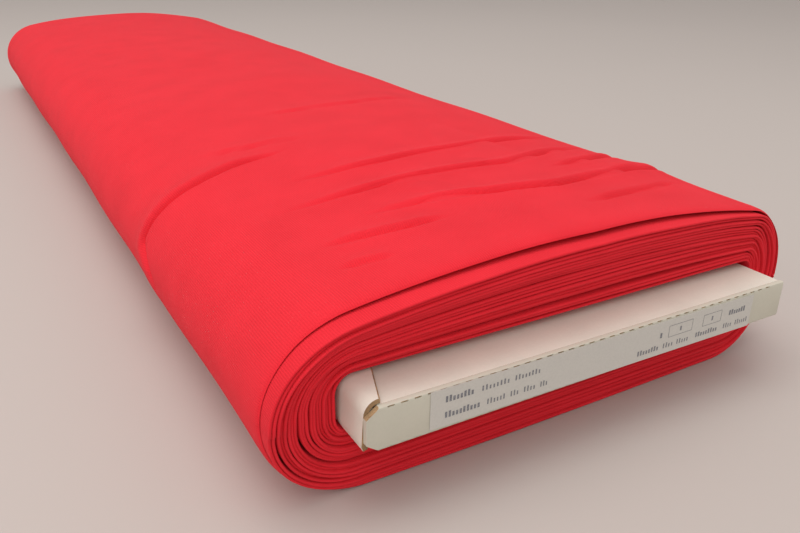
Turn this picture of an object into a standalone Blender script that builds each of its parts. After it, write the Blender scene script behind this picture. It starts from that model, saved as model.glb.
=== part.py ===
"""Fabric bolt: jersey folded in half lengthwise and wound round a folded cardboard bolt board.

Metres, +Z up. X is the bolt's width, Y its length, and the labelled end faces -Y.
The bolt lies flat, and the origin is under the middle of the roll, on the surface it rests on.
"""

import math

import bmesh
import bpy
from mathutils import Vector

# ---- Board: one die-cut blank of white-lined card, folded into a flat closed tube ----
BOARD_LENGTH = 0.7820
BOARD_WIDTH = 0.1800
BOARD_DEPTH = 0.0144            # from the bottom panel's underside to the top panel's face
CARD = 0.0016                   # thickness of the card
GAP = 0.0003                    # clearance between pieces that lie against each other
EDGE_ROUND = 0.0045             # outside radius of the soft upper left edge
TAB_WIDTH = 0.0250              # glue tab, from the board's left side, at its full width
TAB_END_WIDTH = 0.0054          # the same at the board's ends
TAB_TAPER = 0.0540              # length over which the glue tab narrows
WEB_SPREAD = 0.0600             # distance between the two inner webs
WEB_SETBACK = 0.0320            # from the board's end to a web's end

# ---- End closures ----
BOTTOM_SETBACK = 0.0070         # from the board's end to the bottom panel's end
TUCK_LENGTH = 0.0100
TUCK_TILT = math.radians(27.0)  # the tucked flap climbs over the bottom panel's edge
TUCK_START = 0.0022             # from the bottom crease to the tuck flap, so that it can fold further
DUST_LENGTH = 0.0220
TUCK_SIDE_CLEARANCE = 0.0030    # between the tuck flap and a dust flap's free edge
CORNER_RELIEF_WIDTH = 0.0042    # cut corners at the left of an end flap
CORNER_RELIEF_HEIGHT = 0.0030
TUCK_CORNER = 0.0050            # cut corners of the tuck flap's free edge

# ---- Label stuck on the front end flap ----
LABEL_WIDTH = 0.1420
LABEL_HEIGHT = 0.0130
LABEL_OFFSET = 0.0018           # from the middle of the board towards +X
LABEL_THICKNESS = 0.00015
LABEL_GLUE = 0.0001

# ---- Cloth: 1.5 m wide, folded in half, so that each turn has two plies ----
ROLL_LENGTH = 0.7500
TURNS = 20
TURNS_PER_GROUP = 2
PITCH_LEFT = 0.00127            # thickness of one turn at each side of the board
PITCH_RIGHT = 0.00099
PITCH_BOTTOM = 0.00127
PITCH_TOP = 0.00113
PITCH_CROWN = 0.00040           # extra per turn in the middle of the top, where the turns lie loose
SLIDE_GAP = 0.0004              # between the board and the first turn
SLOT_CORNER = 0.0004            # corner radius of the innermost turn
LEFT_NOSE = 0.0360              # how far the outermost turn's left round reaches in
RIGHT_NOSE = 0.0180
TELESCOPE = 0.0090              # how far the fold of the last turn but one stands in front of the first's
OUTER_SETBACK = 0.0085          # the outermost turn's fold lies this far behind the one under it
EDGE_WANDER = 0.0010            # how far the folds of neighbouring turns differ
TAIL_END = 5                    # the loose end stops this many steps up the lower right round
WRAP_START = 3                  # the outermost turn starts this many steps up it
TAIL_CLEARANCE = 0.0009         # between the loose end's fold line and the outermost turn

ROUND_STEPS = 8                 # straight steps in a quarter of a round
CROWN_STEPS = 10

JERSEY_RED = (0.80, 0.030, 0.055, 1.0)
LINED_CARD = (0.78, 0.74, 0.66, 1.0)
BROWN_CARD = (0.42, 0.30, 0.18, 1.0)
LABEL_PAPER = (0.74, 0.75, 0.74, 1.0)

# ---- Places that follow from the sizes above ----
CREASE = CARD / 2
BOARD_X = TURNS * (PITCH_LEFT - PITCH_RIGHT) / 2
BOARD_LEFT = BOARD_X - BOARD_WIDTH / 2
BOARD_RIGHT = BOARD_X + BOARD_WIDTH / 2
BOARD_BOTTOM = SLIDE_GAP + TURNS * PITCH_BOTTOM
BOARD_TOP = BOARD_BOTTOM + BOARD_DEPTH
TAB_TOP = BOARD_TOP + GAP + CARD
INNER_BOTTOM = BOARD_BOTTOM + CARD + GAP
INNER_TOP = BOARD_TOP - CARD - GAP
INNER_LEFT = BOARD_LEFT + CARD + GAP
INNER_RIGHT = BOARD_RIGHT - CARD - GAP
BOARD_END = BOARD_LENGTH / 2
WALL_END = BOARD_END - CARD - GAP
TOP_END = BOARD_END - CARD - GAP


# ---- Making objects ----

def clear_scene():
    for obj in list(bpy.data.objects):
        bpy.data.objects.remove(obj, do_unlink=True)


def make_material(name, colour, roughness):
    material = bpy.data.materials.new(name)
    material.use_nodes = True
    shader = material.node_tree.nodes["Principled BSDF"]
    shader.inputs["Base Color"].default_value = colour
    shader.inputs["Roughness"].default_value = roughness
    shader.inputs["Metallic"].default_value = 0.0
    return material


def make_pivot(name, place, parent=None):
    pivot = bpy.data.objects.new(name, None)
    bpy.context.collection.objects.link(pivot)
    attach(pivot, place, parent)
    return pivot


def world_place(obj):
    place = Vector(obj.location)
    while obj.parent:
        obj = obj.parent
        place += obj.location
    return place


def attach(obj, place, parent):
    """Put an object's origin at a world place, under a parent that isn't turned."""
    obj.parent = parent
    obj.location = Vector(place) - (world_place(parent) if parent else Vector((0, 0, 0)))


def finish_object(name, mesh_data, origin, parent, colour, roughness=0.85, smooth=None):
    """Turn a bmesh in world coordinates into a named object with its origin at a given place."""
    bmesh.ops.translate(mesh_data, verts=mesh_data.verts, vec=-Vector(origin))
    bmesh.ops.recalc_face_normals(mesh_data, faces=mesh_data.faces)
    mesh = bpy.data.meshes.new(name)
    mesh_data.to_mesh(mesh)
    mesh_data.free()
    if smooth is not None:
        mesh.shade_smooth()
        mesh.set_sharp_from_angle(angle=math.radians(smooth))
    obj = bpy.data.objects.new(name, mesh)
    bpy.context.collection.objects.link(obj)
    obj.data.materials.append(make_material(name + "_finish", colour, roughness))
    attach(obj, origin, parent)
    return obj


def extrude_faces(mesh_data, direction):
    """Give thickness to flat faces by extruding them all one way."""
    result = bmesh.ops.extrude_face_region(mesh_data, geom=mesh_data.faces[:])
    moved = [item for item in result["geom"] if isinstance(item, bmesh.types.BMVert)]
    bmesh.ops.translate(mesh_data, verts=moved, vec=Vector(direction))


def prism(outline, direction):
    """Extrude a closed flat outline of world points along a direction."""
    mesh_data = bmesh.new()
    mesh_data.faces.new([mesh_data.verts.new(point) for point in outline])
    extrude_faces(mesh_data, direction)
    return mesh_data


def box(low, high):
    """A box between two opposite corners."""
    outline = [(low[0], low[1], low[2]), (high[0], low[1], low[2]),
               (high[0], high[1], low[2]), (low[0], high[1], low[2])]
    return prism(outline, (0, 0, high[2] - low[2]))


def trim(mesh_data, point, outward):
    """Cut away what lies on the outward side of a plane, and close the cut."""
    geometry = mesh_data.verts[:] + mesh_data.edges[:] + mesh_data.faces[:]
    bmesh.ops.bisect_plane(mesh_data, geom=geometry, plane_co=Vector(point),
                           plane_no=Vector(outward), clear_outer=True)
    rim = [edge for edge in mesh_data.edges if edge.is_boundary]
    bmesh.ops.holes_fill(mesh_data, edges=rim, sides=0)


def arc(centre, radius, start, end, steps):
    """Points of a flat arc, angles in degrees from the first axis to the second."""
    points = []
    for step in range(steps + 1):
        angle = math.radians(start + (end - start) * step / steps)
        points.append((centre[0] + radius * math.cos(angle), centre[1] + radius * math.sin(angle)))
    return points


# ---- Board panels ----

def make_board(board):
    """The four walls, the glue tab and the two inner webs, all on the board's sliding pivot."""
    origin = world_place(board)
    panel_start = BOARD_LEFT + EDGE_ROUND
    top = box((panel_start, -TOP_END, BOARD_TOP - CARD), (BOARD_RIGHT, TOP_END, BOARD_TOP))
    finish_object("board_top_panel", top, origin, board, LINED_CARD)

    bottom_end = BOARD_END - BOTTOM_SETBACK
    bottom = box((INNER_LEFT, -bottom_end, BOARD_BOTTOM), (INNER_RIGHT, bottom_end, BOARD_BOTTOM + CARD))
    finish_object("board_bottom_panel", bottom, origin, board, LINED_CARD)

    right = box((BOARD_RIGHT - CARD, -WALL_END, BOARD_BOTTOM), (BOARD_RIGHT, WALL_END, INNER_TOP))
    finish_object("board_right_side", right, origin, board, LINED_CARD)

    make_left_side(board, origin)
    make_glue_tab(board, origin)
    for side, name in ((-1, "board_left_web"), (1, "board_right_web")):
        middle = BOARD_X + side * WEB_SPREAD / 2
        web_end = BOARD_END - WEB_SETBACK
        web = box((middle - CARD / 2, -web_end, INNER_BOTTOM), (middle + CARD / 2, web_end, INNER_TOP))
        finish_object(name, web, origin, board, BROWN_CARD)


def make_left_side(board, origin):
    """The left wall, which rolls over the upper left edge in a soft round."""
    centre = (BOARD_LEFT + EDGE_ROUND, TAB_TOP - EDGE_ROUND)
    outside = arc(centre, EDGE_ROUND, 180, 90, ROUND_STEPS)
    inside = arc(centre, EDGE_ROUND - CARD, 90, 180, ROUND_STEPS)
    profile = [(BOARD_LEFT, BOARD_BOTTOM)] + outside + inside + [(BOARD_LEFT + CARD, BOARD_BOTTOM)]
    wall = prism([(x, -WALL_END, z) for x, z in profile], (0, 2 * WALL_END, 0))
    finish_object("board_left_side", wall, origin, board, LINED_CARD, smooth=30)


def make_glue_tab(board, origin):
    """The tab that the left wall lays on the top panel. It narrows towards the board's ends."""
    fold = BOARD_LEFT + EDGE_ROUND + GAP
    narrow = BOARD_LEFT + TAB_END_WIDTH
    wide = BOARD_LEFT + TAB_WIDTH
    shoulder = WALL_END - TAB_TAPER
    plan = [(fold, -WALL_END), (narrow, -WALL_END), (wide, -shoulder),
            (wide, shoulder), (narrow, WALL_END), (fold, WALL_END)]
    tab = prism([(x, y, TAB_TOP - CARD) for x, y in plan], (0, 0, CARD))
    finish_object("board_glue_tab", tab, origin, board, LINED_CARD)


# ---- End closures. side is -1 at the labelled front end and +1 at the rear ----

def stadium(start, end, radius):
    """Outline of a flat strip with both ends round, between two crease centres."""
    heading = math.degrees(math.atan2(end[1] - start[1], end[0] - start[0]))
    far = arc(end, radius, heading - 90, heading + 90, ROUND_STEPS)
    near = arc(start, radius, heading + 90, heading + 270, ROUND_STEPS)
    return far + near


def half_stadium(crease, heading, start, length, radius):
    """Outline of a strip with a square end near its crease and a round free end."""
    along = (math.cos(heading), math.sin(heading))
    across = (-along[1], along[0])
    tip = (crease[0] + along[0] * (length - radius), crease[1] + along[1] * (length - radius))
    turn = math.degrees(heading)
    outline = arc(tip, radius, turn - 90, turn + 90, ROUND_STEPS)
    for side in (1, -1):
        outline.append((crease[0] + along[0] * start + across[0] * radius * side,
                        crease[1] + along[1] * start + across[1] * radius * side))
    return outline


def make_end_flap(name, side, board):
    """The flap that closes the board's end. It hinges on the crease at the top panel."""
    crease_y = side * (BOARD_END - CREASE)
    top_crease = (crease_y, BOARD_TOP - CREASE)
    low_crease = (crease_y, BOARD_BOTTOM + CREASE)
    outline = stadium(low_crease, top_crease, CREASE)
    flap = prism([(BOARD_LEFT, y, z) for y, z in outline], (BOARD_WIDTH, 0, 0))
    outward_top = (-CORNER_RELIEF_HEIGHT, 0, CORNER_RELIEF_WIDTH)
    outward_low = (-CORNER_RELIEF_HEIGHT, 0, -CORNER_RELIEF_WIDTH)
    trim(flap, (BOARD_LEFT, crease_y, BOARD_TOP - CORNER_RELIEF_HEIGHT), outward_top)
    trim(flap, (BOARD_LEFT, crease_y, BOARD_BOTTOM + CORNER_RELIEF_HEIGHT), outward_low)
    origin = (BOARD_X, top_crease[0], top_crease[1])
    return finish_object(name, flap, origin, board, LINED_CARD, smooth=40)


def make_tuck_flap(name, side, end_flap):
    """The flap folded in at the bottom crease. It reaches between the two dust flaps."""
    crease = (side * (BOARD_END - CREASE), BOARD_BOTTOM + CREASE)
    heading = TUCK_TILT if side < 0 else math.pi - TUCK_TILT
    outline = half_stadium(crease, heading, TUCK_START, TUCK_LENGTH, CREASE)
    half_width = BOARD_WIDTH / 2 - CARD - GAP - DUST_LENGTH - TUCK_SIDE_CLEARANCE
    flap = prism([(BOARD_X - half_width, y, z) for y, z in outline], (2 * half_width, 0, 0))
    tip_y = crease[0] + math.cos(heading) * TUCK_LENGTH
    for hand in (-1, 1):
        corner = (BOARD_X + hand * (half_width - TUCK_CORNER), tip_y, crease[1])
        trim(flap, corner, (hand, -side, 0))
    return finish_object(name, flap, (BOARD_X, crease[0], crease[1]), end_flap, LINED_CARD, smooth=40)


def make_dust_flap(name, side, hand, board):
    """The short flap behind the end flap, on the left (-1) or right (+1) wall."""
    crease_x = INNER_LEFT + CREASE if hand < 0 else INNER_RIGHT - CREASE
    crease_y = side * (BOARD_END - CARD - GAP - CREASE)
    tip_x = crease_x - hand * (DUST_LENGTH - CARD)
    outline = stadium((crease_x, crease_y), (tip_x, crease_y), CREASE)
    flap = prism([(x, y, INNER_BOTTOM) for x, y in outline], (0, 0, INNER_TOP - INNER_BOTTOM))
    origin = (crease_x, crease_y, (INNER_TOP + INNER_BOTTOM) / 2)
    return finish_object(name, flap, origin, board, LINED_CARD, smooth=40)


def make_label(end_flap):
    """A paper sticker in the middle of the front end flap."""
    back = -BOARD_END - LABEL_GLUE
    middle_x = BOARD_X + LABEL_OFFSET
    middle_z = (BOARD_TOP + BOARD_BOTTOM) / 2
    label = box((middle_x - LABEL_WIDTH / 2, back - LABEL_THICKNESS, middle_z - LABEL_HEIGHT / 2),
                (middle_x + LABEL_WIDTH / 2, back, middle_z + LABEL_HEIGHT / 2))
    finish_object("end_label", label, world_place(end_flap), end_flap, LABEL_PAPER, roughness=0.6)


def make_closures(board):
    for side, end in ((-1, "front"), (1, "rear")):
        flap = make_end_flap(end + "_end_flap", side, board)
        make_tuck_flap(end + "_tuck_flap", side, flap)
        for hand, hand_name in ((-1, "left"), (1, "right")):
            make_dust_flap(f"{end}_{hand_name}_dust_flap", side, hand, board)
        if side < 0:
            make_label(flap)


# ---- Wound cloth ----

def wound_section(turn):
    """Cross-section of the roll after a number of turns, as (x, z) points.

    It starts at the bottom of the right round and runs up, over the crown to the left and down.
    Each round is two quarter ellipses, which grow from the slot's corners to a full nose.
    """
    left = BOARD_LEFT - SLIDE_GAP - turn * PITCH_LEFT
    right = BOARD_RIGHT + SLIDE_GAP + turn * PITCH_RIGHT
    low = BOARD_BOTTOM - SLIDE_GAP - turn * PITCH_BOTTOM
    high = TAB_TOP + SLIDE_GAP + turn * PITCH_TOP
    wound = turn / TURNS
    full_height = (TAB_TOP - BOARD_BOTTOM) / 2 + SLIDE_GAP + TURNS * (PITCH_BOTTOM + PITCH_TOP) / 2
    quarter_height = SLOT_CORNER + wound * (full_height - SLOT_CORNER)
    right_nose = SLOT_CORNER + wound * (RIGHT_NOSE - SLOT_CORNER)
    left_nose = SLOT_CORNER + wound * (LEFT_NOSE - SLOT_CORNER)
    crown = turn * PITCH_CROWN
    points = []
    for start, x_sign, nose, edge in ((-90, 1, right_nose, right), (0, 1, right_nose, right)):
        points += quarter(start, edge, nose, quarter_height, low, high)
    span = (right - right_nose) - (left + left_nose)
    for step in range(1, CROWN_STEPS):
        share = step / CROWN_STEPS
        points.append((right - right_nose - span * share, high + crown * 4 * share * (1 - share)))
    for start in (90, 180):
        points += quarter(start, left, -left_nose, quarter_height, low, high)
    return points


def quarter(start, edge, nose, height, low, high):
    """One quarter ellipse of a round. A negative nose points to the left."""
    centre_z = low + height if start in (-90, 180) else high - height
    points = []
    for step in range(ROUND_STEPS + 1):
        angle = math.radians(start + 90 * step / ROUND_STEPS)
        points.append((edge - nose + abs(nose) * math.cos(angle), centre_z + height * math.sin(angle)))
    return points


def wound_layer(inner, outer, front, rear, closed):
    """Join an inner and an outer path of (x, z) points and extrude them along the roll."""
    mesh_data = bmesh.new()
    inside = [mesh_data.verts.new((x, front, z)) for x, z in inner]
    outside = [mesh_data.verts.new((x, front, z)) for x, z in outer]
    count = len(inside)
    for index in range(count if closed else count - 1):
        after = (index + 1) % count
        mesh_data.faces.new((inside[index], inside[after], outside[after], outside[index]))
    extrude_faces(mesh_data, (0, rear - front, 0))
    return mesh_data


def fold_place(group):
    """How far the fold of a group of turns stops short of the roll's end."""
    return EDGE_WANDER * (1 + math.sin(2.4 * group)) / 2


def make_turn_groups(roll):
    """Closed sleeves of two turns each, then one single turn under the outermost."""
    gap_in_turns = GAP / (PITCH_BOTTOM + PITCH_TOP)
    starts = list(range(0, TURNS - TURNS_PER_GROUP, TURNS_PER_GROUP))
    for group, start in enumerate(starts + [TURNS - 2]):
        end = min(start + TURNS_PER_GROUP, TURNS - 1)
        inner = wound_section(start + (gap_in_turns if start else 0))
        outer = wound_section(end - gap_in_turns)
        front = -ROLL_LENGTH / 2 - TELESCOPE * start / (TURNS - 2) + fold_place(group)
        sleeve = wound_layer(inner, outer, front, front + ROLL_LENGTH, closed=True)
        name = f"cloth_turns_{start + 1:02d}_{end:02d}" if end > start + 1 else f"cloth_turn_{end:02d}"
        finish_object(name, sleeve, (0, 0, 0), roll, JERSEY_RED, roughness=0.95, smooth=30)


def cut_path(points, clearance):
    """The outermost turn's path: from the lower right, along the bottom, the left and the top."""
    shoulder = 2 * ROUND_STEPS + 1
    lead = points[WRAP_START::-1]
    back = points[:shoulder:-1]
    last_x, last_z = points[shoulder]
    next_x, next_z = points[shoulder + 1]
    share = clearance / (last_x - next_x)
    end = (last_x - clearance, last_z + (next_z - last_z) * share)
    return lead + back + [end]


def make_outer_turn(roll):
    """The outermost turn, and its loose end, which lifts about a line on the right shoulder."""
    gap_in_turns = GAP / (PITCH_BOTTOM + PITCH_TOP)
    inner = wound_section(TURNS - 1 + gap_in_turns)
    outer = wound_section(TURNS)
    front = -ROLL_LENGTH / 2 - TELESCOPE + OUTER_SETBACK
    rear = front + ROLL_LENGTH
    wrap = wound_layer(cut_path(inner, TAIL_CLEARANCE), cut_path(outer, TAIL_CLEARANCE),
                       front, rear, closed=False)
    finish_object("cloth_outer_turn", wrap, (0, 0, 0), roll, JERSEY_RED, roughness=0.95, smooth=30)

    shoulder = 2 * ROUND_STEPS + 1
    tail_inner = inner[TAIL_END:shoulder + 1]
    tail_outer = outer[TAIL_END:shoulder + 1]
    tail = wound_layer(tail_inner, tail_outer, front, rear, closed=False)
    hinge = ((inner[shoulder][0] + outer[shoulder][0]) / 2, 0, (inner[shoulder][1] + outer[shoulder][1]) / 2)
    finish_object("cloth_loose_end", tail, hinge, roll, JERSEY_RED, roughness=0.95, smooth=30)


def main():
    clear_scene()
    roll = make_pivot("cloth_roll", (0, 0, 0))
    make_turn_groups(roll)
    make_outer_turn(roll)
    board = make_pivot("bolt_board", (BOARD_X, 0, (BOARD_TOP + BOARD_BOTTOM) / 2), roll)
    make_board(board)
    make_closures(board)


main()
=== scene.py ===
"""The looks of a fabric bolt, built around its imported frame.

Red jersey, folded in half lengthwise, is wound round a flat tube of white-lined card.
The roll lies along Y, and the labelled end of the card board faces -Y. Metres throughout.
"""

import math

import bmesh
import bpy
import numpy as np
from mathutils import Matrix, Vector


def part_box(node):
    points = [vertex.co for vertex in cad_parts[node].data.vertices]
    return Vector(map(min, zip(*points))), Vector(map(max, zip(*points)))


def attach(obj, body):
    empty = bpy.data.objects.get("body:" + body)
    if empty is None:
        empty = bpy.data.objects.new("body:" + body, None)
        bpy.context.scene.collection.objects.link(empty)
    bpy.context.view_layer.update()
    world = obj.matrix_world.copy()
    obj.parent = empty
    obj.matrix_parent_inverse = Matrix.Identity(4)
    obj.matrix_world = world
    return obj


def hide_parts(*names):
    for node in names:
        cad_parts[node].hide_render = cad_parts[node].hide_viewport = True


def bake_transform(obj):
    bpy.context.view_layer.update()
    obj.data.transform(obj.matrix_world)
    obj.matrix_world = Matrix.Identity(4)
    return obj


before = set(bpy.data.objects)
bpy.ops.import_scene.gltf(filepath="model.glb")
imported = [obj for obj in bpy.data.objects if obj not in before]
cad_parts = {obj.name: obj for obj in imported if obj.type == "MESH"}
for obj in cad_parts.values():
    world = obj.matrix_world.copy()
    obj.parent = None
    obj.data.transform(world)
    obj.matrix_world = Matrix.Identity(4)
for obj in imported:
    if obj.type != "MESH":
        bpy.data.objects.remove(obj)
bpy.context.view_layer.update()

# ---- Places read from the frame ----
ROLL_LOW, ROLL_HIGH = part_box("cloth_outer_turn")
ROLL_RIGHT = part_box("cloth_loose_end")[1].x
SLEEVE_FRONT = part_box("cloth_turns_01_02")[0].y
TAB_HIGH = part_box("board_glue_tab")[1]
TOP_LOW, TOP_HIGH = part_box("board_top_panel")
BOARD_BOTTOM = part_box("board_bottom_panel")[0].z
BOARD_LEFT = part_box("board_left_side")[0].x
LABEL_LOW, LABEL_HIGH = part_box("end_label")
CARD = TOP_HIGH.z - TOP_LOW.z

# ---- Cloth ----
CLOTH_WIDTH = 1.50              # between selvedges, before it is folded in half
ROLL_LENGTH = CLOTH_WIDTH / 2
TURNS = 20
CROWN = 0.0080                  # how far the loose top rises over the shoulders
LEFT_NOSE = 0.0360              # how far the outermost round reaches in, at the left
RIGHT_NOSE = 0.0260
LOW_RIGHT_NOSE = 0.0300         # the underside rises early towards the loose end
SLOT_GAP = 0.0004               # between the board and the cloth
WALL_BULGE = 0.0012             # the board's left wall bows out
CROWN_SLOPE = 0.186             # where the rounds run on into the crown
TAIL_ANGLE = math.radians(-34)  # where the loose end stops on the lower right round
PLY_SHARE = 0.43                # thickness of a ply, as a share of its turn's
PLY_OFFSET = 0.56               # a ply's distance from the middle of its turn, in plies
LIP_LENGTH = 0.0055             # length over which the outermost fold rolls down
LIFT = 0.0010                   # the outermost turn stands off the one under it, on top near its fold
LIFT_REACH = 0.05               # how fast that fades away from the fold
LIFT_STEPS = 13                 # how fast it fades round the turn, in steps
PLUMPER, LIFT_PLUMPER = 0.25, 1.1       # the outermost turn's plies part more, and most where it lifts
UNDER_MIDDLE = 0.5              # share of the underside where the outermost turn takes over
SETTLE_STEPS = 30               # steps over which its fold takes its own shape from there
TAIL_FADE = 0.05                # share of a turn over which the step at the tail is taken up
PARTING_FADE = 8                # steps from a turn's ends within which turns don't part
RIB, STITCH = 0.00080, 0.00062  # width of a knitted rib, and length of a stitch in it
GROOVE_WIDTH = 0.0014           # the sharp line in the middle of a crease
CREASE_FLANK = 2.6              # reach of a crease's soft flanks, in its widths
SWELL, GROOVE = 1.1, 2.9        # how far the flanks rise and the sharp line sinks, in its heights
CREASE_START = 0.02             # distance from the fold over which creases grow
UNEVENNESS = 0.0006             # broad waviness of the outermost turn

JERSEY = (0.80, 0.025, 0.040, 1)
# the jersey's darkest tone: painted shade in the gaps between stitches, and its own random mottling
JERSEY_SHADE_AND_MOTTLE = (0.52, 0.008, 0.014, 1)

# ---- Card, label and floor ----
CREASE_RADIUS = 0.0007
CREASE_FILL = 0.00026           # an end flap reaches back over most of its crease
CORNER_CUT = (0.0042, 0.0030)   # cut corners at the left of an end flap, across and up
CUT_LENGTH, BRIDGE = 0.0024, 0.0020     # the perforated creases
CUT_MARGIN = 0.0068             # from a flap's left edge to its first cut
CUT_ROOM = 0.0090               # what the cuts leave free of a flap's width
CUT_DEPTH, CUT_RIM = 0.0005, 0.00014
EDGE_ROUND = 0.0048             # the left wall rolls over into the glue tab
PANEL_ROUND = 0.0011
TAB_BEVEL = 0.0005
TAB_TAPER = 0.0540              # length of the glue tab's slanted ends
TAB_NECK = 0.0054               # what is left of the tab's width at the board's end
LABEL_TILT = math.radians(0.5)
PRINT_RISE = 0.00002            # thickness of the ink
PRINT_GAP = 0.00003             # the ink stands clear of the turned paper
LETTER_PITCH = 0.00130

CARD_FACE = (0.72, 0.70, 0.61, 1)
CARD_END = (0.56, 0.53, 0.44, 1)
CARD_CORE = (0.33, 0.21, 0.11, 1)
PAPER = (0.58, 0.555, 0.51, 1)
PRINT_GREY = (0.14, 0.14, 0.15, 1)
FLOOR = (0.500, 0.446, 0.415, 1)
FLOOR_DROP = 0.0002             # keeps the floor from showing through the cloth
WARM_WHITE = (1.0, 0.985, 0.97)


# ---- Materials ----

def new_material(name, colour, roughness):
    material = bpy.data.materials.new(name)
    material.use_nodes = True
    shader = material.node_tree.nodes["Principled BSDF"]
    shader.inputs["Base Color"].default_value = colour
    shader.inputs["Roughness"].default_value = roughness
    shader.inputs["Specular IOR Level"].default_value = 0.3
    return material, material.node_tree, shader


def math_node(tree, operation, first, second=None):
    """A maths node. Each input is a socket or a number."""
    node = tree.nodes.new("ShaderNodeMath")
    node.operation = operation
    for index, value in enumerate((first, second)):
        if value is None:
            continue
        if isinstance(value, (int, float)):
            node.inputs[index].default_value = value
        else:
            tree.links.new(value, node.inputs[index])
    return node.outputs[0]


def mixed(tree, first, share, second):
    """A share of one tone and the rest of another."""
    rest = math_node(tree, "MULTIPLY", second, 1 - share)
    return math_node(tree, "ADD", math_node(tree, "MULTIPLY", first, share), rest)


def object_place(tree):
    return tree.nodes.new("ShaderNodeTexCoord").outputs["Object"]


def noise(tree, place, scale, detail=3.0, roughness=0.5):
    node = tree.nodes.new("ShaderNodeTexNoise")
    node.inputs["Scale"].default_value = scale
    node.inputs["Detail"].default_value = detail
    node.inputs["Roughness"].default_value = roughness
    tree.links.new(place, node.inputs["Vector"])
    return node.outputs["Fac"]


def shade(colour, share):
    """A colour made darker or lighter."""
    return tuple(min(channel * share, 1) for channel in colour[:3]) + (1,)


def paint(tree, shader, tone, dark, light, start, stop):
    """Colour the surface by a tone, from dark where it is start to light where it is stop."""
    ramp = tree.nodes.new("ShaderNodeValToRGB")
    ramp.color_ramp.elements[0].position = start
    ramp.color_ramp.elements[0].color = dark
    ramp.color_ramp.elements[1].position = stop
    ramp.color_ramp.elements[1].color = light
    tree.links.new(tone, ramp.inputs["Fac"])
    tree.links.new(ramp.outputs["Color"], shader.inputs["Base Color"])


def bump(tree, shader, height, distance, strength):
    node = tree.nodes.new("ShaderNodeBump")
    node.inputs["Distance"].default_value = distance
    node.inputs["Strength"].default_value = strength
    tree.links.new(height, node.inputs["Height"])
    tree.links.new(node.outputs["Normal"], shader.inputs["Normal"])


def jersey_material():
    """Fine jersey: ribs of small V stitches that run across the cloth's length. Its colour is darker where
    the knit lies low, as painted shade in the gaps between the stitches, and it is also mottled at random.
    """
    material, tree, shader = new_material("red_jersey", JERSEY, 0.82)
    cloth_map = tree.nodes.new("ShaderNodeUVMap")
    cloth_map.uv_map = "cloth"
    on_cloth = cloth_map.outputs["UV"]
    split = tree.nodes.new("ShaderNodeSeparateXYZ")
    tree.links.new(on_cloth, split.inputs["Vector"])
    along, across = split.outputs["X"], split.outputs["Y"]
    column = math_node(tree, "FRACT", math_node(tree, "DIVIDE", along, RIB))
    leg = math_node(tree, "ABSOLUTE", math_node(tree, "SUBTRACT", column, 0.5))
    slant = math_node(tree, "ADD", math_node(tree, "DIVIDE", across, STITCH), leg)
    stitch = math_node(tree, "SINE", math_node(tree, "MULTIPLY", slant, 2 * math.pi))
    ridge = math_node(tree, "SINE", math_node(tree, "MULTIPLY", column, math.pi))
    looped = math_node(tree, "ADD", math_node(tree, "MULTIPLY", stitch, 0.35), 0.65)
    knit = math_node(tree, "MULTIPLY", looped, ridge)
    fuzz = noise(tree, on_cloth, 2600, 2.0)
    height = math_node(tree, "ADD", knit, math_node(tree, "MULTIPLY", fuzz, 0.5))
    bump(tree, shader, height, 0.00022, 0.7)
    cloudy = noise(tree, on_cloth, 42, 4.0)
    # colour: painted shade where the knit lies low, in the gaps between stitches, mixed with a random cloudy
    # tone
    paint(tree, shader, mixed(tree, height, 0.5, cloudy), JERSEY_SHADE_AND_MOTTLE, JERSEY, 0.0, 0.62)
    shader.inputs["Specular IOR Level"].default_value = 0.12
    shader.inputs["Sheen Weight"].default_value = 0.06
    shader.inputs["Sheen Roughness"].default_value = 0.45
    shader.inputs["Sheen Tint"].default_value = (1.0, 0.45, 0.5, 1)
    return material


def card_material(name, colour, fleck):
    """Pressed card: a clay-coated face with faint cloudiness and short fibres."""
    material, tree, shader = new_material(name, colour, 0.62)
    place = object_place(tree)
    fibre = noise(tree, place, 900, 3.0, 0.7)
    tone = mixed(tree, noise(tree, place, 60, 4.0), 0.65, fibre)
    paint(tree, shader, tone, shade(colour, fleck), shade(colour, 2 - fleck), 0.25, 0.75)
    bump(tree, shader, fibre, 0.00006, 0.35)
    return material


def core_material():
    """The brown inside of the card, with the thin layers that its cut edge shows."""
    material, tree, shader = new_material("brown_card_core", CARD_CORE, 0.9)
    place = object_place(tree)
    layered = noise(tree, place, 2200, 3.0, 0.8)
    tone = mixed(tree, layered, 0.5, noise(tree, place, 260, 2.0))
    paint(tree, shader, tone, shade(CARD_CORE, 0.45), shade(CARD_CORE, 1.7), 0.3, 0.7)
    bump(tree, shader, layered, 0.0002, 0.6)
    return material


def web_material():
    """Unlined brown board, with its fluting showing through as faint bars, one after another along Y."""
    material, tree, shader = new_material("brown_fluted_card", CARD_CORE, 0.9)
    place = object_place(tree)
    wave = tree.nodes.new("ShaderNodeTexWave")
    wave.bands_direction = "Y"
    wave.inputs["Scale"].default_value = 90
    wave.inputs["Distortion"].default_value = 0.4
    tree.links.new(place, wave.inputs["Vector"])
    tone = mixed(tree, wave.outputs["Fac"], 0.4, noise(tree, place, 700, 3.0, 0.7))
    paint(tree, shader, tone, shade(CARD_CORE, 0.8), shade(CARD_CORE, 1.4), 0.2, 0.8)
    bump(tree, shader, tone, 0.0002, 0.4)
    return material


def paper_material():
    """Satin label paper with a little cockle where the glue pulls."""
    material, tree, shader = new_material("label_paper", PAPER, 0.45)
    place = object_place(tree)
    grain = noise(tree, place, 1400, 2.0)
    cockle = noise(tree, place, 70, 2.0)
    paint(tree, shader, grain, shade(PAPER, 0.95), PAPER, 0.3, 0.6)
    bump(tree, shader, math_node(tree, "ADD", cockle, math_node(tree, "MULTIPLY", grain, 0.05)), 0.0004, 0.25)
    return material


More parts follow.
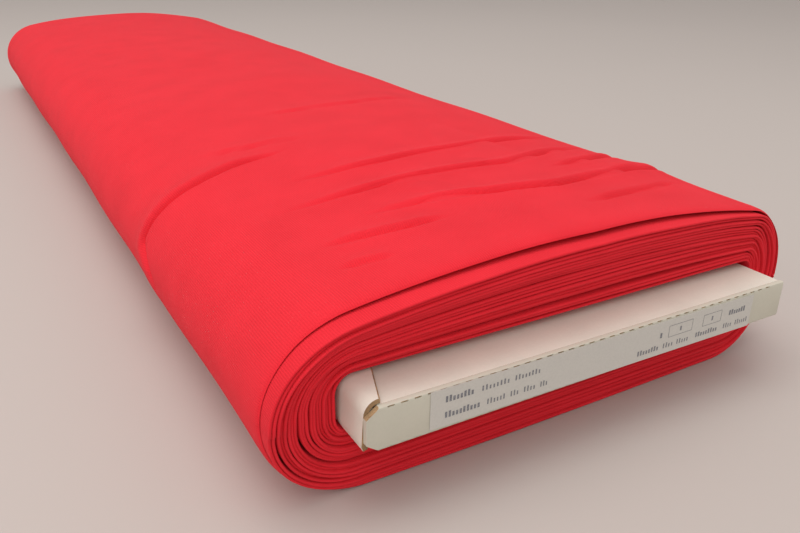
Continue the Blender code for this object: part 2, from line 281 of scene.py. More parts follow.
def print_material():
    """Thermal print, slightly uneven in tone."""
    material, tree, shader = new_material("grey_print", PRINT_GREY, 0.5)
    worn = noise(tree, object_place(tree), 3000, 2.0)
    paint(tree, shader, worn, PRINT_GREY, shade(PRINT_GREY, 2.6), 0.4, 0.75)
    return material


def floor_material():
    """Pale paper, very slightly cloudy."""
    material, tree, shader = new_material("paper_floor", FLOOR, 0.75)
    cloudy = noise(tree, object_place(tree), 1.3, 2.0)
    paint(tree, shader, cloudy, shade(FLOOR, 0.98), FLOOR, 0.3, 0.7)
    return material


# ---- Cross-section of the roll ----

# A turn's stretches, clockwise seen from the front, with the steps that each takes.
STRETCHES = {"tail_round": 10, "underside": 18, "lower_left": 16, "left_side": 3, "upper_left": 16,
             "crown": 24, "upper_right": 14, "right_side": 3, "lower_right": 6}
STEPS_PER_TURN = sum(STRETCHES.values())
# The stretches that aren't rounds, with the rounds before and after them.
FLATS = {"underside": ("tail_round", "lower_left"), "left_side": ("lower_left", "upper_left"),
         "crown": ("upper_left", "upper_right"), "right_side": ("upper_right", "lower_right")}
QUARTER = math.pi / 2


def step_at(stretch, share=0.0):
    """How many steps into a turn a place on a stretch lies."""
    names = list(STRETCHES)
    before = names[:names.index(stretch)]
    return sum(STRETCHES[name] for name in before) + share * STRETCHES[stretch]


class Outline:
    """A rounded cross-section that gives a point for each step of a turn.

    Each corner is a quarter ellipse: how far it reaches in from the side, and its height.
    """

    def __init__(self, left, right, low, high, corners, crown):
        self.left, self.right, self.low, self.high = left, right, low, high
        self.corners, self.crown = corners, crown

    def ellipse(self, corner, angle):
        nose, height = self.corners[corner]
        x_centre = self.right - nose if corner.endswith("right") else self.left + nose
        z_centre = self.low + height if corner.startswith("lower") else self.high - height
        return np.stack([x_centre + nose * np.cos(angle), z_centre + height * np.sin(angle)], -1)

    def crown_angle(self, corner):
        """Where an upper round has turned as far as the crown's slope."""
        nose, height = self.corners[corner]
        return QUARTER if not self.crown else math.atan(height / nose / CROWN_SLOPE)

    def stretch(self, name, share):
        """Points at shares 0 to 1 of one stretch."""
        if name in FLATS:
            before, after = FLATS[name]
            start = self.stretch(before, np.array([1.0]))
            stop = self.stretch(after, np.array([0.0]))
            points = start + (stop - start) * share[:, None]
            if name == "crown":
                points[:, 1] += self.crown * 4 * share * (1 - share)
            return points
        corner, begin, end = {
            "tail_round": ("lower_right", TAIL_ANGLE, -QUARTER),
            "lower_left": ("lower_left", -QUARTER, -2 * QUARTER),
            "upper_left": ("upper_left", 2 * QUARTER, 2 * QUARTER - self.crown_angle("upper_left")),
            "upper_right": ("upper_right", self.crown_angle("upper_right"), 0),
            "lower_right": ("lower_right", 0, TAIL_ANGLE)}[name]
        return self.ellipse(corner, begin + (end - begin) * share)

    def points(self, steps):
        """Points at step values from 0 to STEPS_PER_TURN."""
        found = np.zeros((len(steps), 2))
        for name, count in STRETCHES.items():
            start = step_at(name)
            inside = (steps >= start) & (steps <= start + count)
            found[inside] = self.stretch(name, (steps[inside] - start) / count)
        return found


HALF_HEIGHT = (ROLL_HIGH.z - CROWN - ROLL_LOW.z) / 2
SLOT = Outline(BOARD_LEFT - WALL_BULGE - SLOT_GAP, TOP_HIGH.x + SLOT_GAP,
               BOARD_BOTTOM - SLOT_GAP, TAB_HIGH.z + SLOT_GAP,
               {"lower_left": (0.0016, 0.0040), "upper_left": (0.0055, 0.0052),
                "upper_right": (0.0035, 0.0035), "lower_right": (0.0005, 0.0005)}, 0.0)
ROLL = Outline(ROLL_LOW.x, ROLL_RIGHT, ROLL_LOW.z, ROLL_HIGH.z - CROWN,
               {"lower_left": (LEFT_NOSE, HALF_HEIGHT), "upper_left": (LEFT_NOSE, HALF_HEIGHT),
                "upper_right": (RIGHT_NOSE, HALF_HEIGHT), "lower_right": (LOW_RIGHT_NOSE, HALF_HEIGHT)},
               CROWN * 1.05)

# Where neighbouring turns part: turn, stretch, share of the stretch, spread in steps, width in turns.
PARTINGS = (
    (19, "crown", 0.85, 20, 0.9), (17, "upper_right", 0.65, 11, 1.3), (15, "upper_right", 0.7, 9, 1.9),
    (14, "upper_right", 0.35, 9, 0.7), (4, "crown", 0.75, 14, 1.0), (12, "crown", 0.25, 16, 0.5),
    (8, "upper_left", 0.2, 10, 0.5), (17, "lower_left", 0.7, 9, 0.5), (11, "lower_left", 0.6, 12, 0.5),
    (18, "crown", 0.3, 16, 0.5), (9, "crown", 0.55, 14, 0.4))


def smooth_step(value):
    value = np.clip(value, 0, 1)
    return value * value * (3 - 2 * value)


def parting_width(steps):
    """For each parting, its turn and how wide it is at each step, in turns."""
    widths = []
    for turn, stretch, share, spread, width in PARTINGS:
        near = np.exp(-((steps - step_at(stretch, share)) / spread) ** 2)
        fade = smooth_step(np.minimum(steps, STEPS_PER_TURN - steps) / PARTING_FADE)
        widths.append((turn, width * near * fade))
    return widths


def turns_across(steps):
    """How many turns' thickness lies between the slot and the outside, with the partings counted in.

    Just past the tail the turn beneath it comes to the surface.
    """
    share = steps / STEPS_PER_TURN
    whole = TURNS + 1 - (1 - share) * smooth_step(share / TAIL_FADE)
    return whole + sum(width for _, width in parting_width(steps))


def depth(turns_out, steps):
    """Where a turn's inner side lies, from 0 at the slot to 1 at the roll's outside."""
    share = steps / STEPS_PER_TURN
    wander = 0.10 * np.sin(2.1 * turns_out + 5 * share) + 0.06 * np.sin(3.7 * turns_out - 9 * share + 1)
    whole = turns_across(steps)
    place = turns_out + wander * np.sin(np.pi * np.clip(turns_out / whole, 0, 1)) ** 0.5
    for turn, width in parting_width(steps):
        place = place + width * smooth_step((turns_out - turn) * 2 + 0.5)
    return place / whole


def spiral(turns, steps):
    """The middle of the wound cloth in cross-section.

    Gives its places, their outward directions, the turn's thickness there and the length so far.
    """
    slot, roll = SLOT.points(steps), ROLL.points(steps)
    turn_share = 1 / turns_across(steps)
    centre = slot + (roll - slot) * (depth(turns, steps) + turn_share / 2)[:, None]
    thickness = np.linalg.norm(roll - slot, axis=1) * turn_share
    tangent = np.gradient(centre, axis=0)
    tangent /= np.linalg.norm(tangent, axis=1)[:, None]
    outward = np.stack([-tangent[:, 1], tangent[:, 0]], -1)
    length = np.concatenate([[0], np.cumsum(np.linalg.norm(np.diff(centre, axis=0), axis=1))])
    return centre, outward, thickness, length


# ---- Folds and creases ----

def sway(turns, seed, size):
    """A smooth wander along the cloth, the same each run."""
    rng = np.random.RandomState(seed)
    total = np.zeros_like(turns)
    for rate in (0.37, 0.83, 1.31, 2.17, 3.41, 5.3):
        total += rng.uniform(0.3, 1.0) / rate ** 0.4 * np.sin(2 * math.pi * (rate * turns + rng.uniform()))
    return size * total / 2.2


# How the folds lie at places round a turn: stretch, share of the stretch, how far the last wound fold
# stands in front of the first, and y of the outermost fold.
FOLD_PLACES = (
    ("tail_round", 0.0, -0.0012, -0.3730), ("underside", 0.5, -0.0010, -0.3740),
    ("lower_left", 0.0, -0.0005, -0.3722), ("lower_left", 0.5, 0.0020, -0.3716),
    ("left_side", 0.5, 0.0056, -0.3728), ("upper_left", 0.6, 0.0078, -0.3740),
    ("crown", 0.0, 0.0087, -0.3752), ("crown", 0.25, 0.0094, -0.3772), ("crown", 0.5, 0.0091, -0.3782),
    ("crown", 0.72, 0.0066, -0.3756), ("crown", 0.92, 0.0026, -0.3744),
    ("upper_right", 0.4, 0.0000, -0.3739), ("right_side", 0.5, -0.0012, -0.3736),
    ("lower_right", 1.0, -0.0012, -0.3730))


def wound_fold(turns, steps):
    """Y of the wound cloth's fold. Outer turns stand further forward, most of all on top."""
    places = [step_at(stretch, share) for stretch, share, _, _ in FOLD_PLACES]
    lean = np.interp(steps, places, [lean for _, _, lean, _ in FOLD_PLACES])
    return SLEEVE_FRONT - lean * np.clip(turns / (TURNS - 1), 0, 1) + sway(turns, 4, 0.0007)


def outermost_fold(turns, steps):
    """Y of the outermost turn's fold."""
    places = [step_at(stretch, share) for stretch, share, _, _ in FOLD_PLACES]
    return np.interp(steps, places, [y for _, _, _, y in FOLD_PLACES]) + sway(turns * 3, 9, 0.0004)


# Soft creases on the outermost turn: points (distance round from the crown's middle, y), height, width.
CREASES = (
    (((-0.137, -0.262), (-0.121, -0.2415), (-0.102, -0.243), (-0.0905, -0.2434), (-0.0727, -0.2375),
      (-0.045, -0.234)), 0.0015, 0.0045),
    (((-0.080, -0.2103), (-0.0554, -0.2188), (-0.030, -0.222)), 0.0006, 0.0035),
    (((-0.0600, -0.2728), (-0.0199, -0.2758), (0.0240, -0.2696), (0.0712, -0.2589),
      (0.092, -0.252)), 0.0012, 0.0026),
    (((-0.0750, -0.2982), (-0.0285, -0.3012), (0.0274, -0.3005), (0.0684, -0.2843),
      (0.095, -0.275)), 0.0013, 0.0024),
    (((-0.0530, -0.3222), (-0.0235, -0.3277), (-0.0061, -0.3331), (0.0238, -0.3359), (0.0520, -0.3290),
      (0.0903, -0.3177)), 0.0014, 0.0026),
    (((0.0430, -0.3120), (0.0707, -0.3033), (0.100, -0.292)), 0.0012, 0.0026),
    (((-0.0744, -0.3353), (-0.0464, -0.3417), (-0.0300, -0.3440)), 0.0009, 0.0022),
    (((-0.0765, -0.3538), (-0.0600, -0.3580)), 0.0006, 0.0022),
    (((0.0188, -0.3578), (0.0607, -0.3484), (0.0857, -0.3400)), 0.0008, 0.0028),
    (((0.060, -0.3260), (0.105, -0.3180), (0.135, -0.3140)), 0.0015, 0.0055),
    (((-0.040, -0.170), (0.020, -0.165), (0.075, -0.150)), 0.0006, 0.0050),
    (((-0.060, -0.080), (0.000, -0.085), (0.060, -0.070)), 0.0006, 0.0080),
    (((-0.020, 0.050), (0.040, 0.045), (0.090, 0.060)), 0.0006, 0.0090),
)


def beside_line(points, round_about, y):
    """Each place's distance from a line, which side of it that is, and the share of the line gone by."""
    nearest = np.full(round_about.shape, np.inf)
    side = np.zeros_like(nearest)
    gone_by = np.zeros_like(nearest)
    length = sum(math.dist(start, stop) for start, stop in zip(points, points[1:]))
    gone = 0.0
    for start, stop in zip(points, points[1:]):
        run = math.dist(start, stop)
        heading_x, heading_y = (stop[0] - start[0]) / run, (stop[1] - start[1]) / run
        dx, dy = round_about - start[0], y - start[1]
        share = np.clip((dx * heading_x + dy * heading_y) / run, 0, 1)
        off_x, off_y = dx - share * run * heading_x, dy - share * run * heading_y
        away = np.hypot(off_x, off_y)
        nearer = away < nearest
        nearest = np.where(nearer, away, nearest)
        side = np.where(nearer, np.sign(heading_x * off_y - heading_y * off_x), side)
        gone_by = np.where(nearer, (gone + share * run) / length, gone_by)
        gone += run
    return nearest, side, gone_by


def crease_height(round_about, y):
    """How far the outermost turn stands up at each place, from its creases and a broad unevenness."""
    height = UNEVENNESS * np.sin(31 * y + 22 * round_about) * np.sin(17 * y - 38 * round_about + 1)
    for points, tall, wide in CREASES:
        away, side, gone_by = beside_line(points, round_about, y)
        swell = np.exp(-(away / (CREASE_FLANK * wide)) ** 2)
        swell = swell * (1 + 0.45 * side * np.clip(away / wide, 0, 1))
        groove = np.exp(-(away / GROOVE_WIDTH) ** 2)
        strength = smooth_step(np.minimum(gone_by, 1 - gone_by) * 3.5 + 0.05)
        height = height + tall * strength * (SWELL * swell - GROOVE * groove)
    return height


# ---- Wound cloth ----

def wound_sheet(name, material, turn_steps, inner_rows, outer_rows, fold_angles, outermost=False):
    """A stretch of the folded cloth, from one step count to another, as one open sheet of two plies.

    Its rows follow the winding: up the inner ply to the fold, round the fold, and down the outer ply.
    """
    turn_index = np.minimum(np.floor(turn_steps / STEPS_PER_TURN), TURNS - 1)
    steps = turn_steps - turn_index * STEPS_PER_TURN
    turns = turn_steps / STEPS_PER_TURN
    centre, outward, thickness, length = spiral(turns, steps)
    ply = PLY_SHARE * thickness
    spread = ply * PLY_OFFSET
    settled = smooth_step((turn_steps - turn_steps[0]) / SETTLE_STEPS)
    front = wound_fold(turns, steps)
    if outermost:
        front = front + settled * (outermost_fold(turns, steps) - front)
    rear = front + ROLL_LENGTH + sway(turns * 1.7, 6, 0.0012)

    # Each row: y, its side from -1 on the inner ply to 1 on the outer, and its place across the flat cloth.
    rows = []
    for share in inner_rows:
        rows.append((rear + (front - rear) * share, -np.ones_like(front), ROLL_LENGTH * share))
    for angle in fold_angles:
        reach, rise, past = -spread * math.cos(angle), math.sin(angle), 0.0
        if outermost:
            lip = math.pi / 4 - angle / 2
            past = LIP_LENGTH * (1 - math.sin(lip))
            reach = reach + settled * (past - reach)
            rise = rise + settled * (2 * math.cos(lip) - 1 - rise)
        rows.append((front + reach, rise + np.zeros_like(front), ROLL_LENGTH + past))
    for share in outer_rows:
        rows.append((front + (rear - front) * share, np.ones_like(front), ROLL_LENGTH * (1 + share)))

    # The crown's middle is where x is nearest 0 in the upper part of the roll.
    crown_middle = np.argmin(np.abs(centre[:, 0]) + (centre[:, 1] < ROLL_HIGH.z * 0.7))
    round_about = length - length[crown_middle]
    vertices = np.zeros((len(turn_steps), len(rows), 3))
    uv = np.zeros((len(turn_steps), len(rows), 2))
    for row, (y, side, across) in enumerate(rows):
        off = side * spread
        if outermost:
            loose = np.exp(-((steps - step_at("crown", 1 / 3)) / LIFT_STEPS) ** 2)
            loose = loose * np.exp((front - y) / LIFT_REACH)
            off = off * (1 + settled * (PLUMPER + LIFT_PLUMPER * loose)) + settled * 0.0001 + LIFT * loose
            off = off + crease_height(round_about, y) * smooth_step((y - front) / CREASE_START + 0.1)
        vertices[:, row, 0] = centre[:, 0] + outward[:, 0] * off
        vertices[:, row, 1] = y
        vertices[:, row, 2] = centre[:, 1] + outward[:, 1] * off
        uv[:, row, 0] = length
        uv[:, row, 1] = across
    vertices[:, :, 2] = np.maximum(vertices[:, :, 2], ply.max() / 2)
    return sheet_object(name, material, vertices, uv, float(np.median(ply)))


def sheet_object(name, material, vertices, uv, ply):
    """A grid of points as a cloth mesh, with a ply's thickness."""
    count, width = vertices.shape[:2]
    index = np.arange(count * width).reshape(count, width)
    faces = np.stack([index[:-1, :-1], index[1:, :-1], index[1:, 1:], index[:-1, 1:]], -1).reshape(-1, 4)
    mesh = bpy.data.meshes.new(name)
    mesh.from_pydata(vertices.reshape(-1, 3).tolist(), [], faces.tolist())
    layer = mesh.uv_layers.new(name="cloth")
    layer.data.foreach_set("uv", uv.reshape(-1, 2)[faces.ravel()].astype(np.float32).ravel())
    obj = bpy.data.objects.new(name, mesh)
    bpy.context.collection.objects.link(obj)
    mesh.materials.append(material)
    thicken(obj, ply, 0.0)
    mesh.shade_smooth()
    mesh.set_sharp_from_angle(angle=math.radians(50))
    return obj


def make_cloth(material):
    """The whole cloth: the wound turns, and the outermost turn with its loose end."""
    last_turn = (TURNS - 1) * STEPS_PER_TURN
    takeover = last_turn + step_at("underside", UNDER_MIDDLE)
    wound = wound_sheet("cloth_wound_turns", material, np.arange(0, takeover + 0.5),
                        (0.0, 0.01, 0.5, 0.985), (0.015, 0.5, 0.99, 1.0),
                        [math.radians(angle) for angle in (-90, -50, -15, 15, 50, 90)])
    sleeves = [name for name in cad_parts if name.startswith("cloth_turn")]
    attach(wound, "cloth_roll")
    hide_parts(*sleeves)

    # Finer steps over the crown, where the creases are, and finer rows near the labelled end.
    crown_start, crown_stop = last_turn + step_at("crown"), last_turn + step_at("upper_right")
    outer_steps = np.concatenate([np.arange(takeover, crown_start, 0.7),
                                  np.arange(crown_start, crown_stop, 0.33),
                                  np.linspace(crown_stop, last_turn + STEPS_PER_TURN, 34)])
    outer_rows = np.concatenate([np.linspace(LIP_LENGTH, 0.148, 154) / ROLL_LENGTH,
                                 np.linspace(0.199, 0.30, 26), np.linspace(0.31, 1.0, 22)])
    outermost = wound_sheet("cloth_outer_turn_and_loose_end", material, outer_steps,
                            (0.0, 0.25, 0.5, 0.7, 0.85, 0.93, 0.97, 0.99, 0.9985), outer_rows,
                            [math.radians(angle) for angle in (-82, -66, -46, -22, 6, 34, 62)],
                            outermost=True)
    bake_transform(outermost)
    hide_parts("cloth_outer_turn", "cloth_loose_end")


# ---- Modelling by hand: helpers round Blender's own operators ----

def deselect():
    bpy.ops.object.select_all(action="DESELECT")


def only(obj):
    deselect()
    obj.select_set(True)
    bpy.context.view_layer.objects.active = obj


def place_in_mesh(obj):
    only(obj)
    bpy.ops.object.transform_apply(location=True, rotation=True, scale=True)


def thicken(obj, thickness, offset):
    """Solidify, applied. offset -1 grows inward, 0 to both sides, 1 outward."""
    only(obj)
    solid = obj.modifiers.new("thickness", "SOLIDIFY")
    solid.thickness, solid.offset = thickness, offset
    solid.use_even_offset = True
    bpy.ops.object.modifier_apply(modifier=solid.name)


def flat_block(name, low, high, materials, rotation=(0, 0, 0)):
    """A block between two corners, turned about its middle, to be shaped further."""
    deselect()
    bpy.ops.mesh.primitive_cube_add(size=1, location=(low + high) / 2, rotation=rotation)
    block = bpy.context.active_object
    block.name = name
    block.scale = high - low
    place_in_mesh(block)
    for material in materials:
        block.data.materials.append(material)
    return block


def select_where(obj, kind, test):
    """In edit mode, select only the vertices, edges or faces whose middle passes a test."""
    data = bmesh.from_edit_mesh(obj.data)
    for group in (data.verts, data.edges, data.faces):
        for item in group:
            item.select = False
    if kind == "FACE":
        found = [face for face in data.faces if test(face.calc_center_median(), face)]
    elif kind == "EDGE":
        found = [edge for edge in data.edges if test((edge.verts[0].co + edge.verts[1].co) / 2, edge)]
    else:
        found = [vert for vert in data.verts if test(vert.co, vert)]
    for item in found:
        item.select = True
    data.select_mode = {kind}
    data.select_flush_mode()
    bmesh.update_edit_mesh(obj.data)


def close_to(value, target, slack=1e-5):
    return abs(value - target) < slack


def runs_along_y(edge, least=0.01):
    return abs(edge.verts[0].co.y - edge.verts[1].co.y) > least


def cut_through(place, direction, **trim):
    """In edit mode, cut the whole mesh on a plane."""
    bpy.ops.mesh.select_all(action="SELECT")
    bpy.ops.mesh.bisect(plane_co=place, plane_no=direction, **trim)


def give_core(obj):
    """In edit mode, show the brown core on the selected faces."""
    obj.active_material_index = 1
    bpy.ops.object.material_slot_assign()


def round_creases(obj, test, radius, segments):
    select_where(obj, "EDGE", test)
    bpy.ops.mesh.bevel(offset=radius, segments=segments, profile=0.5, affect="EDGES")


def finish_card(obj, materials, outward):
    """Give a card skin its thickness, inward, and its brown cut edges. outward is roughly how it faces."""
    only(obj)
    bpy.ops.object.mode_set(mode="EDIT")
    bpy.ops.mesh.select_all(action="SELECT")
    bpy.ops.mesh.remove_doubles(threshold=1e-6)
    bpy.ops.mesh.normals_make_consistent(inside=False)
    bpy.ops.object.mode_set(mode="OBJECT")
    if sum(face.normal.dot(Vector(outward)) * face.area for face in obj.data.polygons) < 0:
        obj.data.flip_normals()
    for material in materials:
        obj.data.materials.append(material)
    skin_faces = len(obj.data.polygons)
    thicken(obj, CARD, -1.0)
    for number, face in enumerate(obj.data.polygons):
        face.material_index = 1 if number >= 2 * skin_faces else 0
    bpy.ops.object.shade_smooth_by_angle(angle=math.radians(30))


# ---- Card board. Each piece's materials are its lined face and its brown core. ----

def press_cuts(flap, side, low, high):
    """Press the perforation's short cuts into both creases of an end flap. Edit mode."""
    step = CUT_LENGTH + BRIDGE
    count = int((high.x - low.x - CUT_ROOM) / step)
    starts = [low.x + CUT_MARGIN + step * number for number in range(count)]
    for start in starts:
        for place in (start, start + CUT_LENGTH):
            cut_through((place, 0, 0), (1, 0, 0))

    def on_crease(place, face):
        tilted = 0.15 < abs(face.normal.z) < 0.85 and face.normal.y * side > 0.2 and abs(face.normal.x) < 0.1
        return tilted and any(start < place.x < start + CUT_LENGTH for start in starts)

    select_where(flap, "FACE", on_crease)
    bpy.ops.mesh.inset(thickness=CUT_RIM, depth=-CUT_DEPTH, use_individual=True)
    give_core(flap)


def make_end_flap(end, materials):
    """The flap that closes the board's end: perforated creases above and below, cut corners at the left."""
    low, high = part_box(end + "_end_flap")
    side = 1 if low.y > 0 else -1
    if side < 0:
        high.y += CREASE_FILL
    else:
        low.y -= CREASE_FILL
    outer_y = high.y if side > 0 else low.y
    flap = flat_block(end + "_flap_card", low, high, materials)
    bpy.ops.object.mode_set(mode="EDIT")
    across, tall = CORNER_CUT
    for place_z, up in ((high.z - tall, 1), (low.z + tall, -1)):
        facing = Vector((-tall, 0, up * across)).normalized()
        cut_through((low.x, 0, place_z), facing, clear_outer=True, use_fill=True)
        select_where(flap, "FACE", lambda place, face: face.normal.x < -0.2 and face.normal.z * up > 0.2)
        give_core(flap)

    def at_crease(place, edge):
        return close_to(place.y, outer_y) and (close_to(place.z, high.z) or close_to(place.z, low.z))

    round_creases(flap, at_crease, CREASE_RADIUS, 2)
    press_cuts(flap, side, low, high)
    bpy.ops.object.mode_set(mode="OBJECT")
    bpy.ops.object.shade_smooth_by_angle(angle=math.radians(25))
    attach(flap, end + "_end_flap")
    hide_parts(end + "_end_flap")


def make_left_wall(materials):
    """The left wall and the glue tab that it lays on the top panel, in one folded strip of card."""
    low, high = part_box("board_left_side")
    tab_width = TAB_HIGH.x - low.x
    deselect()
    bpy.ops.mesh.primitive_grid_add(x_subdivisions=1, y_subdivisions=1, size=1, rotation=(0, QUARTER, 0),
                                    location=(low.x, (low.y + high.y) / 2, (low.z + high.z) / 2))
    wall = bpy.context.active_object
    wall.name = "left_wall_and_glue_tab"
    wall.scale = (high.z - low.z, high.y - low.y, 1)
    place_in_mesh(wall)

    # The tab folds off the wall's upper edge and narrows towards both ends of the board.
    bpy.ops.object.mode_set(mode="EDIT")
    for place in (low.y + TAB_TAPER, high.y - TAB_TAPER):
        cut_through((0, place, 0), (0, 1, 0))
    select_where(wall, "EDGE", lambda place, edge: close_to(place.z, high.z) and runs_along_y(edge))
    bpy.ops.mesh.extrude_edges_move(TRANSFORM_OT_translate={"value": (tab_width, 0, 0)})
    select_where(wall, "VERT", lambda place, vert: place.x > low.x + 0.01 and abs(place.y) > high.y - 0.001)
    bpy.ops.transform.translate(value=(TAB_NECK - tab_width, 0, 0))
    round_creases(wall, lambda place, edge: close_to(place.x, low.x) and close_to(place.z, high.z),
                  EDGE_ROUND, 7)
    for share in (0.15, 0.3, 0.45, 0.6, 0.75, 0.9):
        place_z = low.z + (high.z - EDGE_ROUND - low.z) * share
        cut_through((0, 0, place_z), (0, 0, 1))
        select_where(wall, "VERT", lambda place, vert: close_to(place.x, low.x)
                     and close_to(place.z, place_z))
        bpy.ops.transform.translate(value=(-WALL_BULGE * 4 * share * (1 - share), 0, 0))
    bpy.ops.object.mode_set(mode="OBJECT")
    finish_card(wall, materials, outward=(-1, 0, 1))

    def faces_right(vert):
        return any(face.normal.x > 0.05 and abs(face.normal.z) < 0.1 for face in vert.link_faces)

    def on_tab_edge(place, edge):
        raised = close_to(place.z, high.z) and place.x > low.x + 0.0052
        return raised and all(faces_right(vert) for vert in edge.verts) and runs_along_y(edge)

    bpy.ops.object.mode_set(mode="EDIT")
    select_where(wall, "EDGE", on_tab_edge)
    bpy.ops.mesh.bevel(offset=TAB_BEVEL, segments=1, affect="EDGES", material=1)
    bpy.ops.object.mode_set(mode="OBJECT")
    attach(wall, "bolt_board")
    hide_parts("board_left_side", "board_glue_tab")


def make_panel(node, materials, rounded=False):
    """A flat panel of the board, brown at its cut ends. Its upper right edge may be rounded."""
    low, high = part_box(node)
    panel = flat_block(node + "_card", low, high, materials)
    bpy.ops.object.mode_set(mode="EDIT")
    if rounded:
        round_creases(panel, lambda place, edge: close_to(place.x, high.x) and close_to(place.z, high.z)
                      and runs_along_y(edge), PANEL_ROUND, 4)
    select_where(panel, "FACE", lambda place, face: abs(face.normal.y) > 0.9)
    give_core(panel)
    bpy.ops.object.mode_set(mode="OBJECT")
    bpy.ops.object.shade_smooth_by_angle(angle=math.radians(30))
    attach(panel, "bolt_board")
    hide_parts(node)


# ---- Label ----

# Printed words: first and last x, height above the label's middle, letter height, stroke weight.
WORDS = (
    (-0.0614, -0.0510, 0.0027, 0.0021, 0.62), (-0.0485, -0.0376, 0.0026, 0.0018, 0.42),
    (-0.0360, -0.0256, 0.0026, 0.0018, 0.42), (-0.0615, -0.0485, -0.0027, 0.0021, 0.62),
    (-0.0463, -0.0390, -0.0027, 0.0019, 0.42), (-0.0374, -0.0338, -0.0027, 0.0019, 0.42),
    (-0.0322, -0.0272, -0.0027, 0.0019, 0.42), (-0.0256, -0.0223, -0.0027, 0.0019, 0.42),
    (0.0270, 0.0286, 0.0012, 0.0020, 0.60), (0.0626, 0.0717, 0.0018, 0.0020, 0.66),
    (0.0169, 0.0274, -0.0034, 0.0019, 0.56), (0.0292, 0.0346, -0.0034, 0.0019, 0.42),
    (0.0360, 0.0424, -0.0034, 0.0019, 0.42), (0.0457, 0.0575, -0.0032, 0.0019, 0.56),
    (0.0605, 0.0655, -0.0032, 0.0019, 0.42), (0.0670, 0.0742, -0.0032, 0.0019, 0.42),
)
# Outlined boxes between the words: the same first three values, then the height.
FRAMES = ((0.0315, 0.0433, 0.0018, 0.0044), (0.0490, 0.0585, 0.0018, 0.0044))
FRAME_LINE = 0.00016
LETTER_HEIGHTS = (1.0, 0.74, 0.78, 1.05, 0.72)      # shares of the word's letter height


def add_mark(x, z, size):
    """One printed stroke, in edit mode."""
    middle = Vector((x, LABEL_LOW.y - PRINT_GAP, z))
    bpy.ops.mesh.primitive_plane_add(size=1, location=middle, rotation=(QUARTER, LABEL_TILT, 0))
    bpy.ops.transform.resize(value=(size[0], 1, size[1]), center_override=middle)


def make_print(ink):
    """Rows of greeked print: bars in place of letters, and two outlined boxes."""
    middle = (LABEL_LOW + LABEL_HIGH) / 2

    def line_height(x, rise):
        return middle.z + rise - (x - middle.x) * math.tan(LABEL_TILT)

    # A starting plane makes the piece, and is deleted before the first mark.
    deselect()
    bpy.ops.mesh.primitive_plane_add(size=0.0002, location=middle)
    marks = bpy.context.active_object
    marks.name = "label_print"
    place_in_mesh(marks)
    bpy.ops.object.mode_set(mode="EDIT")
    bpy.ops.mesh.select_all(action="SELECT")
    bpy.ops.mesh.delete(type="VERT")
    for first, last, rise, tall, weight in WORDS:
        letters = max(1, round((last - first) / LETTER_PITCH))
        pitch = (last - first) / letters
        for letter in range(letters):
            x = first + pitch * (letter + 0.5)
            letter_height = tall * LETTER_HEIGHTS[(letter * 3) % 5]
            add_mark(x, line_height(x, rise) - (tall - letter_height) / 2, (pitch * weight, letter_height))
    for first, last, rise, tall in FRAMES:
        x = (first + last) / 2
        z = line_height(x, rise)
        for side in (-1, 1):
            add_mark(x, z + side * tall / 2, (last - first, FRAME_LINE))
            add_mark(x + side * (last - first) / 2, z, (FRAME_LINE, tall))
        add_mark(x, z, (0.0008, tall * 0.4))
    bpy.ops.object.mode_set(mode="OBJECT")
    thicken(marks, PRINT_RISE, 1.0)
    marks.data.materials.append(ink)
    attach(marks, "front_end_flap")


def make_label(paper, ink):
    """The paper label on the front flap, a little crooked, and its print."""
    label = flat_block("end_label_paper", LABEL_LOW, LABEL_HIGH, [paper], rotation=(0, LABEL_TILT, 0))
    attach(label, "front_end_flap")
    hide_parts("end_label")
    make_print(ink)


def make_board():
    """Everything of card. The pieces that stay hidden in the closures keep their CAD shapes."""
    face = card_material("white_lined_card", CARD_FACE, 0.93)
    end_face = card_material("grey_lined_card", CARD_END, 0.94)
    core = core_material()
    make_left_wall((face, core))
    make_panel("board_top_panel", (face, core), rounded=True)
    make_panel("board_bottom_panel", (face, core))
    make_panel("board_right_side", (face, core))
    for end in ("front", "rear"):
        make_end_flap(end, (end_face, core))
    make_label(paper_material(), print_material())
    fluted = web_material()
    for name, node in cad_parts.items():
        if "web" in name or "flap" in name:
            node.data.materials.clear()
            node.data.materials.append(fluted if "web" in name else face)


# ---- Stage ----

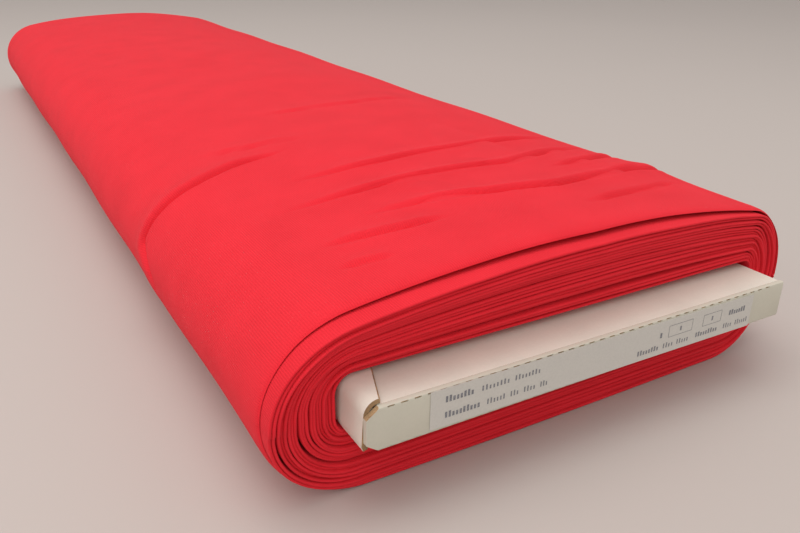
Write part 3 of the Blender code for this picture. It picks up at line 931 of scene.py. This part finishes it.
def make_floor():
    deselect()
    bpy.ops.mesh.primitive_grid_add(x_subdivisions=4, y_subdivisions=4, size=12,
                                    location=(0, 2.0, -FLOOR_DROP))
    floor = bpy.context.active_object
    floor.name = "floor"
    place_in_mesh(floor)
    floor.data.materials.append(floor_material())


def make_light(name, place, target, size, power, colour=WARM_WHITE):
    lamp = bpy.data.lights.new(name, "AREA")
    lamp.shape, lamp.size, lamp.energy, lamp.color = "SQUARE", size, power, colour
    obj = bpy.data.objects.new(name, lamp)
    bpy.context.collection.objects.link(obj)
    obj.location = place
    obj.rotation_euler = (Vector(target) - Vector(place)).to_track_quat("-Z", "Y").to_euler()


def light_stage():
    world = bpy.data.worlds.new("studio")
    world.use_nodes = True
    sky = world.node_tree.nodes["Background"]
    sky.inputs["Color"].default_value = (1.0, 0.97, 0.95, 1)
    sky.inputs["Strength"].default_value = 0.63
    bpy.context.scene.world = world
    make_light("overhead_softbox", (-0.30, -0.20, 1.70), (0.0, 0.05, 0), 1.3, 14)
    make_light("front_left_fill", (-0.8, -1.5, 1.3), (0.0, -0.4, 0), 1.2, 9, (1.0, 0.99, 0.97))
    make_light("left_fill", (-1.6, 0.2, 0.7), (-0.1, 0.0, 0), 1.0, 5)
    bpy.context.scene.view_settings.view_transform = "Standard"


def make_camera():
    """Close in front of the labelled end, a little to its left, looking down along the roll."""
    lens = bpy.data.cameras.new("camera")
    lens.sensor_width, lens.lens = 36.0, 34.48
    lens.clip_start, lens.clip_end = 0.01, 50
    camera = bpy.data.objects.new("camera", lens)
    bpy.context.collection.objects.link(camera)
    turn, pitch, roll = math.radians(30.17), math.radians(23.78), math.radians(0.79)
    heading = Matrix.Rotation(-turn, 4, "Z")
    aim = heading @ Matrix.Rotation(QUARTER - pitch, 4, "X") @ Matrix.Rotation(roll, 4, "Z")
    camera.matrix_world = Matrix.Translation((-0.1682, -0.5477, 0.1618)) @ aim
    bpy.context.scene.camera = camera


make_board()
make_cloth(jersey_material())
make_floor()
light_stage()
make_camera()
